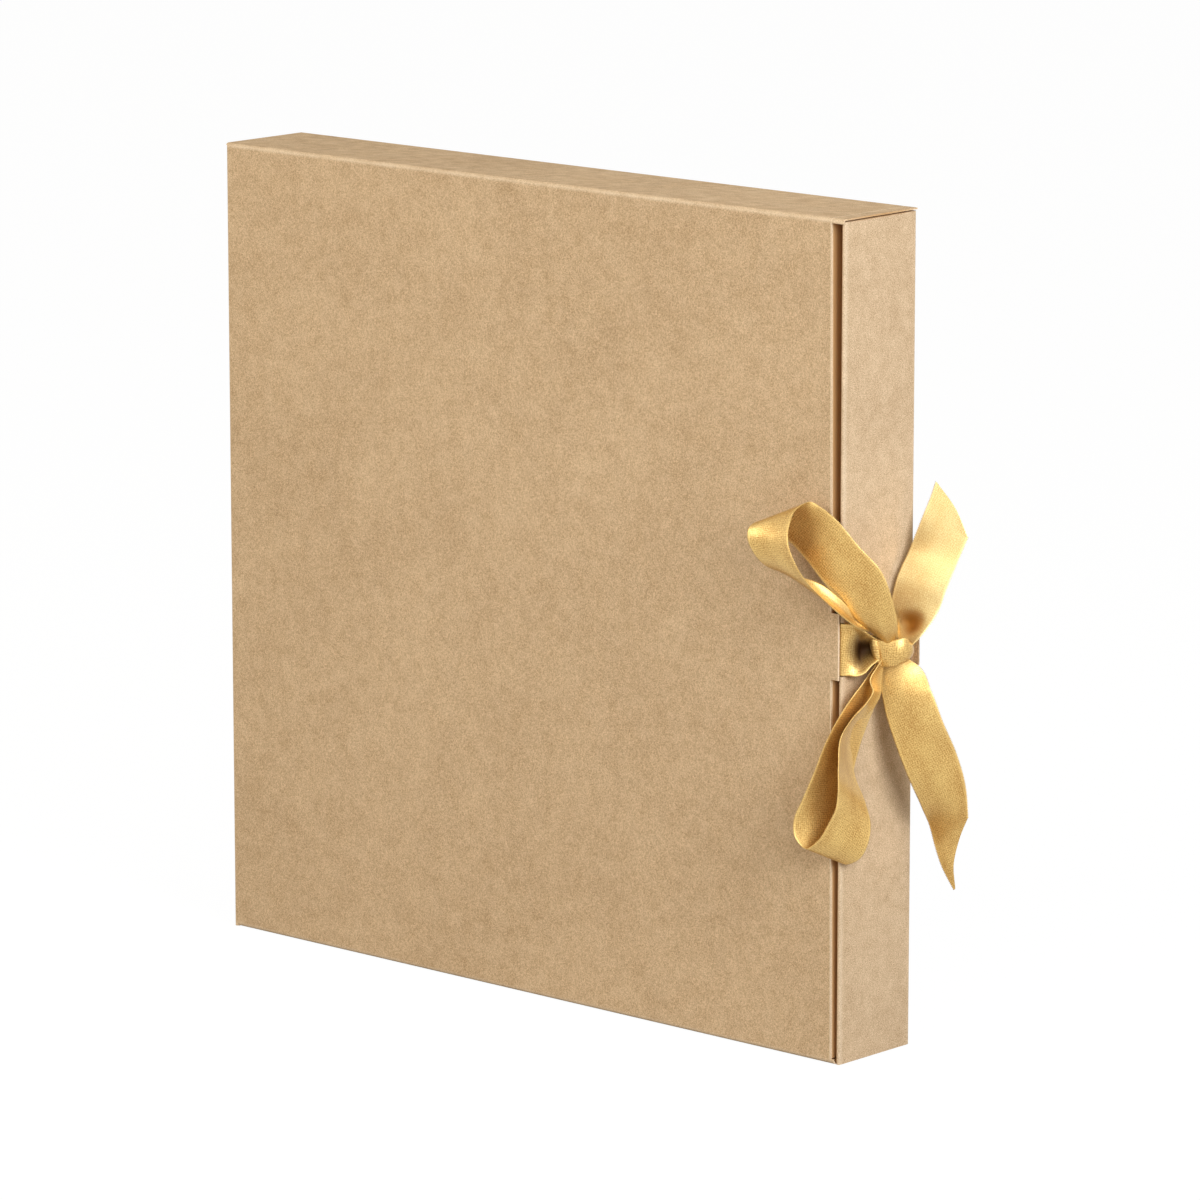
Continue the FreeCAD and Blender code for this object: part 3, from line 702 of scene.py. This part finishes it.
# %% The surface of a band
def band_surface(places, hollow, cut_from=None, dents=(), doubled=None):
    """The grid of points of a band and their map, both in millimetres.

    hollow says at each place how far the band's middle stands out of the line
    between its edges. From the place cut_from on, its second edge is a cut.
    Each dent gives its place along and across, its two half sizes and its depth.
    """
    edges = np.array(places, float)
    steps = np.linalg.norm(np.diff(edges.mean(axis=1), axis=0), axis=1)
    along = np.concatenate([[0], np.cumsum(steps)])
    rows = int(along[-1] / (PICOT / 2))
    knots = np.linspace(0, along[-1], rows + 1)
    deep = np.array(hollow, float)[:, None]
    data = np.concatenate([edges.reshape(len(edges), 6), deep], axis=1)
    placed = spline_rows(along, data, knots, cut_from)
    near, far, depth = placed[:, 0:3], placed[:, 3:6], placed[:, 6:7]
    across = far - near
    normal = unit(np.cross(unit(np.gradient((near + far) / 2, axis=0)), across))
    share, over, layer = section(doubled)
    rise = depth * (1 - (2 * over - 1) ** 2) + layer
    for middle_along, middle_across, half_along, half_across, dip in dents:
        far_along = (knots[:, None] - middle_along) / half_along
        far_across = (share * RIBBON_WIDTH - middle_across) / half_across
        rise = rise + dip * np.exp(-(far_along ** 2) - far_across ** 2)
    grid = near[:, None, :] + across[:, None, :] * over[:, None]
    grid = grid + normal[:, None, :] * rise[:, :, None]
    woven = np.ones(rows + 1, bool) if cut_from is None else knots < along[cut_from]
    fray_edges(grid, unit(across), woven)
    chord = np.linalg.norm(across, axis=1)
    width = np.where(woven, RIBBON_WIDTH, np.minimum(chord, RIBBON_WIDTH))
    across_map = share * width[:, None]
    along_map = np.repeat(knots[:, None], len(share), axis=1)
    return grid, np.stack([across_map, along_map], axis=2)


def fray_edges(grid, outward, woven):
    """Moves every second point of both edges out, where the second one isn't cut."""
    rows = np.arange(len(grid))
    wiggle = np.where(rows % 2 == 0, PICOT_OUT, PICOT_IN)[:, None]
    grid[:, 0] -= outward * wiggle
    grid[:, -1] += outward * wiggle * woven[:, None]


# %% [markdown]
# ## Weaving the mesh
#
# The band is taken to be a third of a millimetre thick, with tiny loops of
# thread along both edges. A flat strip could be bent by hand, point by point,
# but a grid primitive already has rows and columns like warp and weft. So its
# points are laid on the curved surface, its map keeps the band's flat measures,
# and a Solidify modifier gives it the thickness of cloth.

# %% Grid pieces
def select_only(piece):
    """An operator acts on all that is selected, so this piece alone stays selected."""
    for item in bpy.context.selected_objects:
        item.select_set(item == piece)


def grid_piece(name, grid, uv, finish):
    """A grid primitive whose points are laid on the surface, then made thick."""
    rows, columns = grid.shape[0], grid.shape[1]
    bpy.ops.mesh.primitive_grid_add(x_subdivisions=columns - 1, y_subdivisions=rows - 1, size=1)
    piece = bpy.context.object
    piece.name = piece.data.name = name
    mesh = piece.data
    flat = np.zeros(len(mesh.vertices) * 3)
    mesh.vertices.foreach_get("co", flat)
    flat = flat.reshape(-1, 3)
    column = np.rint((flat[:, 0] + 0.5) * (columns - 1)).astype(int)
    row = np.rint((flat[:, 1] + 0.5) * (rows - 1)).astype(int)
    laid = (grid[row, column] + np.array(KNOT)) * MM
    mesh.vertices.foreach_set("co", laid.ravel())
    corner = np.zeros(len(mesh.loops), int)
    mesh.loops.foreach_get("vertex_index", corner)
    mesh.uv_layers[0].data.foreach_set("uv", (uv[row, column] * MM)[corner].ravel())
    mesh.update()
    select_only(piece)
    bpy.ops.object.shade_smooth()
    solid = piece.modifiers.new("thickness", "SOLIDIFY")
    solid.thickness = RIBBON_THICK * MM
    solid.offset = 0
    bpy.ops.object.modifier_apply(modifier="thickness")
    piece.data.materials.append(finish)
    return piece


# %% Lay one band
def flat_area(grid):
    """The area of a grid of points, in its own units."""
    first, second = grid[1:, 1:] - grid[:-1, :-1], grid[1:, :-1] - grid[:-1, 1:]
    return float(np.linalg.norm(np.cross(first, second), axis=2).sum() / 2)


def lay_band(name, places, node, body, held, rests_on, hollow=None, finish=satin_plain, **shape):
    """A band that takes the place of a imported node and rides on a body."""
    hollow = [0] * len(places) if hollow is None else hollow
    grid, uv = band_surface(places, hollow, **shape)
    piece = grid_piece(name, grid, uv, finish)
    length = float(uv[-1, 0, 1]) * MM
    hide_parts(node)
    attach(piece, body)
    print(name, "length", round(length, 4), "area", round(flat_area(grid)), "mm2")
    return piece


# %% [markdown]
# ## Straps, loops and tails
#
# The front strap is stretched round the cover's edge and dives into the knot
# as a deep hollow, while the rear strap lies flat on the side wall. The loops
# and tails hang from the knot, each with a slight hollow across where the knot
# pinches it. The hollow could come from more points across the band, but one
# number at each place says the same and keeps the band smooth.

# %% The two straps
lay_band(
    "ribbon_front", FRONT_BAND, "front_ribbon", "cover", "stretched", ["lid"],
    hollow=[0, 0, 0, 0, 0.9, 3.4, 5.3, 6.2, 5.5], finish=satin_front_shaded)
lay_band("ribbon_rear", REAR_BAND, "rear_ribbon", "case", "stretched", ["tray"])

# %% The two loops
lay_band(
    "bow_upper_loop", UPPER_LOOP, "bow_loop_upper", "cover", "hung", ["ribbon_knot"],
    hollow=[1.5, 2, 1.2, 0.3, 0, 0, 0, 0, 0, 0, 0, -0.6, -1.6, -1.8, -1.4, -1, -0.6, 0])
lay_band(
    "bow_lower_loop", LOWER_LOOP, "bow_loop_lower", "cover", "hung", ["ribbon_knot"],
    hollow=[
        0, 0, 0.5, 0.8, 0.6, 0.3, 0, 0, 0, 0, 0, 0, 0, 0, 0,
        0.6, 1, 1.4, 1.6, 1.4, 1, 0.5, 0,
    ])

# %% The two tails
lay_band(
    "bow_upper_tail", UPPER_TAIL, "bow_tail_upper", "cover", "hung", ["ribbon_knot"],
    hollow=[0, -0.8, -0.4, 0, 0, 0, 0, 0],
    cut_from=5, dents=[(10.5, 9.5, 4.2, 5.5, 2.4)], finish=satin_tail_highlit_shaded)
lay_band(
    "bow_lower_tail", LOWER_TAIL, "bow_tail_lower", "cover", "hung", ["ribbon_knot"],
    hollow=[0, 1.2, 0.8, 0.4, 0.3, 0.3, 0.3, 0.3, 0.2, 0], cut_from=6)

# %% [markdown]
# ## The knot
#
# The knot is the same ribbon, folded in half and wrapped round the crossing,
# so it is about half as high as the ribbon is wide. A sphere would look like
# a bead. So the band is laid as a wrap of a turn and a quarter in two
# layers: the fold runs along the bottom, both woven edges along the top, and
# a bend at the left stands up where the ribbon turns back behind.

# %% Wrap the knot
# The knot's own axes are turned by this much: across, away and up, in millimetres.
KNOT_TURN = math.radians(40.5)
KNOT_WRAP = [
    ((-2, 2.5, 3.4), (-1.5, 2.5, -3)),
    ((-5.5, 2.2, 4.6), (-3.6, 2.2, -4.8)),
    ((-7.7, 0.2, 5.2), (-4.8, 0.2, -5.6)),
    ((-8, -2, 5.3), (-5, -2, -5.9)),
    ((-6.9, -3.6, 5), (-4.5, -3.4, -6)),
    ((-5.4, -3.2, 4.4), (-3.9, -3, -6)),
    ((-3.8, -3.4, 4), (-2.8, -3.4, -6.1)),
    ((-0.6, -3.9, 4), (-0.2, -4.1, -6)),
    ((2.6, -3.9, 4.8), (2.7, -3.9, -5.3)),
    ((4.8, -2.8, 5), (5, -2.9, -4.4)),
    ((6.6, -1, 2.6), (6.7, -1, -3.5)),
    ((7.4, 1.2, 1.4), (7.4, 1.1, -3)),
    ((6.2, 3.2, 2.8), (6.2, 3.1, -3.6)),
    ((2.8, 4.4, 3.8), (2.8, 4.4, -4.6)),
    ((-2, 4.4, 3.8), (-2, 4.4, -4.6)),
    ((-5.6, 3.2, 3.6), (-4.6, 3.2, -4.4)),
]
KNOT_FULLNESS = [0.5, 0.8, 1, 0.9, 0.7, 0.2, 0.4, 0.9, 1.2, 1, 0.8, 0.6, 0.8, 1, 1, 0.6]
KNOT_LAYERS_APART = 0.8


def turned(place):
    across, away, up = place
    cosine, sine = math.cos(KNOT_TURN), math.sin(KNOT_TURN)
    return (across * cosine - away * sine, across * sine + away * cosine, up)


knot_places = [(turned(top), turned(bottom)) for top, bottom in KNOT_WRAP]
lay_band(
    "ribbon_knot", knot_places, "bow_knot", "cover", "folded", ["ribbon_front"],
    hollow=[-full for full in KNOT_FULLNESS], doubled=KNOT_LAYERS_APART)

# %% [markdown]
# ## Numbers on the drawers
#
# A calendar's drawers are counted from 1 to 24. Real ones are printed or
# foiled. A picture could be laid on each drawer, but a number that is its own
# thin mesh stays sharp at any size, so text is typed, made a mesh, and only
# then set on its drawer, where it rides along when the drawer slides out.

# %% Ink
ink = Finish("brown_ink")
ink_grain = ink.noise(ink.node("ShaderNodeTexCoord", out="Object"), SPECKS, 2)
ink.set(
    Base_Color=ink.mix(ink_grain, from_screen(92, 62, 40), from_screen(60, 38, 24)),
    Roughness=0.5 + ink_grain * 0.2,
)
print("ink:", ink.material.name)

# %% Print the numbers
NUMBER_SIZE = 20 * MM
INK_THICK = 0.04 * MM
INK_STANDS_OUT = 0.03 * MM
# A number stands a little below the middle, because of the notch above it.
NUMBER_HEIGHT = 0.44


def print_number(number):
    drawer = "drawer_%02d" % number
    low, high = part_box(drawer)
    bpy.ops.object.text_add()
    text = bpy.context.object
    text.name = "number_%02d" % number
    text.data.body = str(number)
    text.data.align_x = "CENTER"
    text.data.align_y = "CENTER"
    text.data.size = NUMBER_SIZE
    text.data.extrude = INK_THICK
    select_only(text)
    bpy.ops.object.convert(target="MESH")
    text = bpy.context.object
    text.data.name = text.name
    text.rotation_euler = (math.pi / 2, 0, 0)
    height = low.z + (high.z - low.z) * NUMBER_HEIGHT
    text.location = ((low.x + high.x) / 2, low.y - INK_STANDS_OUT, height)
    bpy.ops.object.transform_apply(location=True, rotation=True, scale=True)
    text.data.materials.append(ink.material)
    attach(text, drawer)
    return text


numbers = [print_number(number) for number in range(1, 25)]
print("numbers:", len(numbers), "faces of one:", len(numbers[7].data.polygons))

# %% [markdown]
# ## Lamps
#
# The photograph has the even light of a white studio. The box's side wall is
# lighter than its front, and both grow darker downwards, so one light stands
# high at the right and one high at the left front. A weak one beside the camera
# makes the satin gleam where it faces us. Bare lamps would give hard shadows, so
# each is a large soft panel.

# %% Soft panels
def soft_lamp(name, place, target, size, watts, tint):
    place, target = Vector(place), Vector(target)
    turn = (target - place).to_track_quat("-Z", "Y").to_euler()
    bpy.ops.object.light_add(type="AREA", location=place, rotation=turn)
    lamp = bpy.context.object
    lamp.name = name
    lamp.data.shape = "RECTANGLE"
    lamp.data.size, lamp.data.size_y = size
    lamp.data.energy = watts
    lamp.data.color = tint
    print(name, watts, "W,", round((target - place).length, 2), "m away")


soft_lamp(
    "right_panel", place=(1.4, -0.3, 0.85), target=(0, 0, 0.24), size=(0.9, 0.9),
    watts=20.5, tint=(0.95, 1, 1.07))
soft_lamp(
    "left_panel", place=(-0.6, -1.55, 1.15), target=(0, 0, 0.2), size=(1.5, 1),
    watts=19, tint=(1.02, 1, 0.95))
soft_lamp(
    "camera_panel", place=(1.5, -1.3, 1.0), target=(0, 0, 0.2), size=(0.7, 0.7),
    watts=5, tint=(1, 1, 1))

# %% [markdown]
# ## White all round
#
# The studio's floor and wall are so white that nothing of them shows. Strong
# lamps would make them white too, but would bleach the card with them. So what
# the camera sees of the floor and of the world is white of itself, and so is
# what the satin mirrors of them. All other light from the world is dim and
# warm, and the floor lets the box's shadow through.

# %% World
WORLD_TINT, WORLD_LIGHT = (1, 0.91, 0.77, 1), 0.235
WHITE = (1, 1, 1, 1)


def background_rays(nodes):
    """1 for a ray that finds the white background: seen, mirrored or let through."""
    seen, mirrored, through = [
        nodes.node("ShaderNodeLightPath", out="Is %s Ray" % kind)
        for kind in ("Camera", "Glossy", "Transmission")
    ]
    return seen.larger(mirrored).larger(through)


world = bpy.data.worlds.new("studio")
bpy.context.scene.world = world
world.use_nodes = True
around = Nodes(world.node_tree)
dim = around.node("ShaderNodeBackground", {}, {"Color": WORLD_TINT, "Strength": WORLD_LIGHT})
white = around.node("ShaderNodeBackground", {}, {"Color": WHITE, "Strength": 1})
either = around.node("ShaderNodeMixShader", {}, {0: background_rays(around), 1: dim, 2: white})
around.feed(around.tree.nodes["World Output"].inputs["Surface"], either)
print("world light", WORLD_LIGHT)

# %% Floor
FLOOR_SIZE, FLOOR_BELOW = 12, 0.5 * MM
FLOOR_GREY = (0.35, 0.35, 0.35, 1)
# How bright the floor shines, and how much of that covers its own grey.
FLOOR_GLOW, FLOOR_COVER = 1.12, 0.87
bpy.ops.mesh.primitive_plane_add(size=FLOOR_SIZE, location=(0, 0, -FLOOR_BELOW))
floor = bpy.context.object
floor.name = "studio_floor"
pale = Finish("studio_floor")
pale.set(Base_Color=FLOOR_GREY, Roughness=0.9, Specular_IOR_Level=0.0)
grey = Shade(pale, pale.shader.outputs[0])
glow = pale.node("ShaderNodeEmission", {}, {"Strength": FLOOR_GLOW})
covered = background_rays(pale) * FLOOR_COVER
shown = pale.node("ShaderNodeMixShader", {}, {0: covered, 1: grey, 2: glow})
pale.feed(pale.tree.nodes["Material Output"].inputs["Surface"], shown)
floor.data.materials.append(pale.material)
bpy.context.scene.view_settings.view_transform = "Standard"
print("floor", FLOOR_SIZE, "m wide")
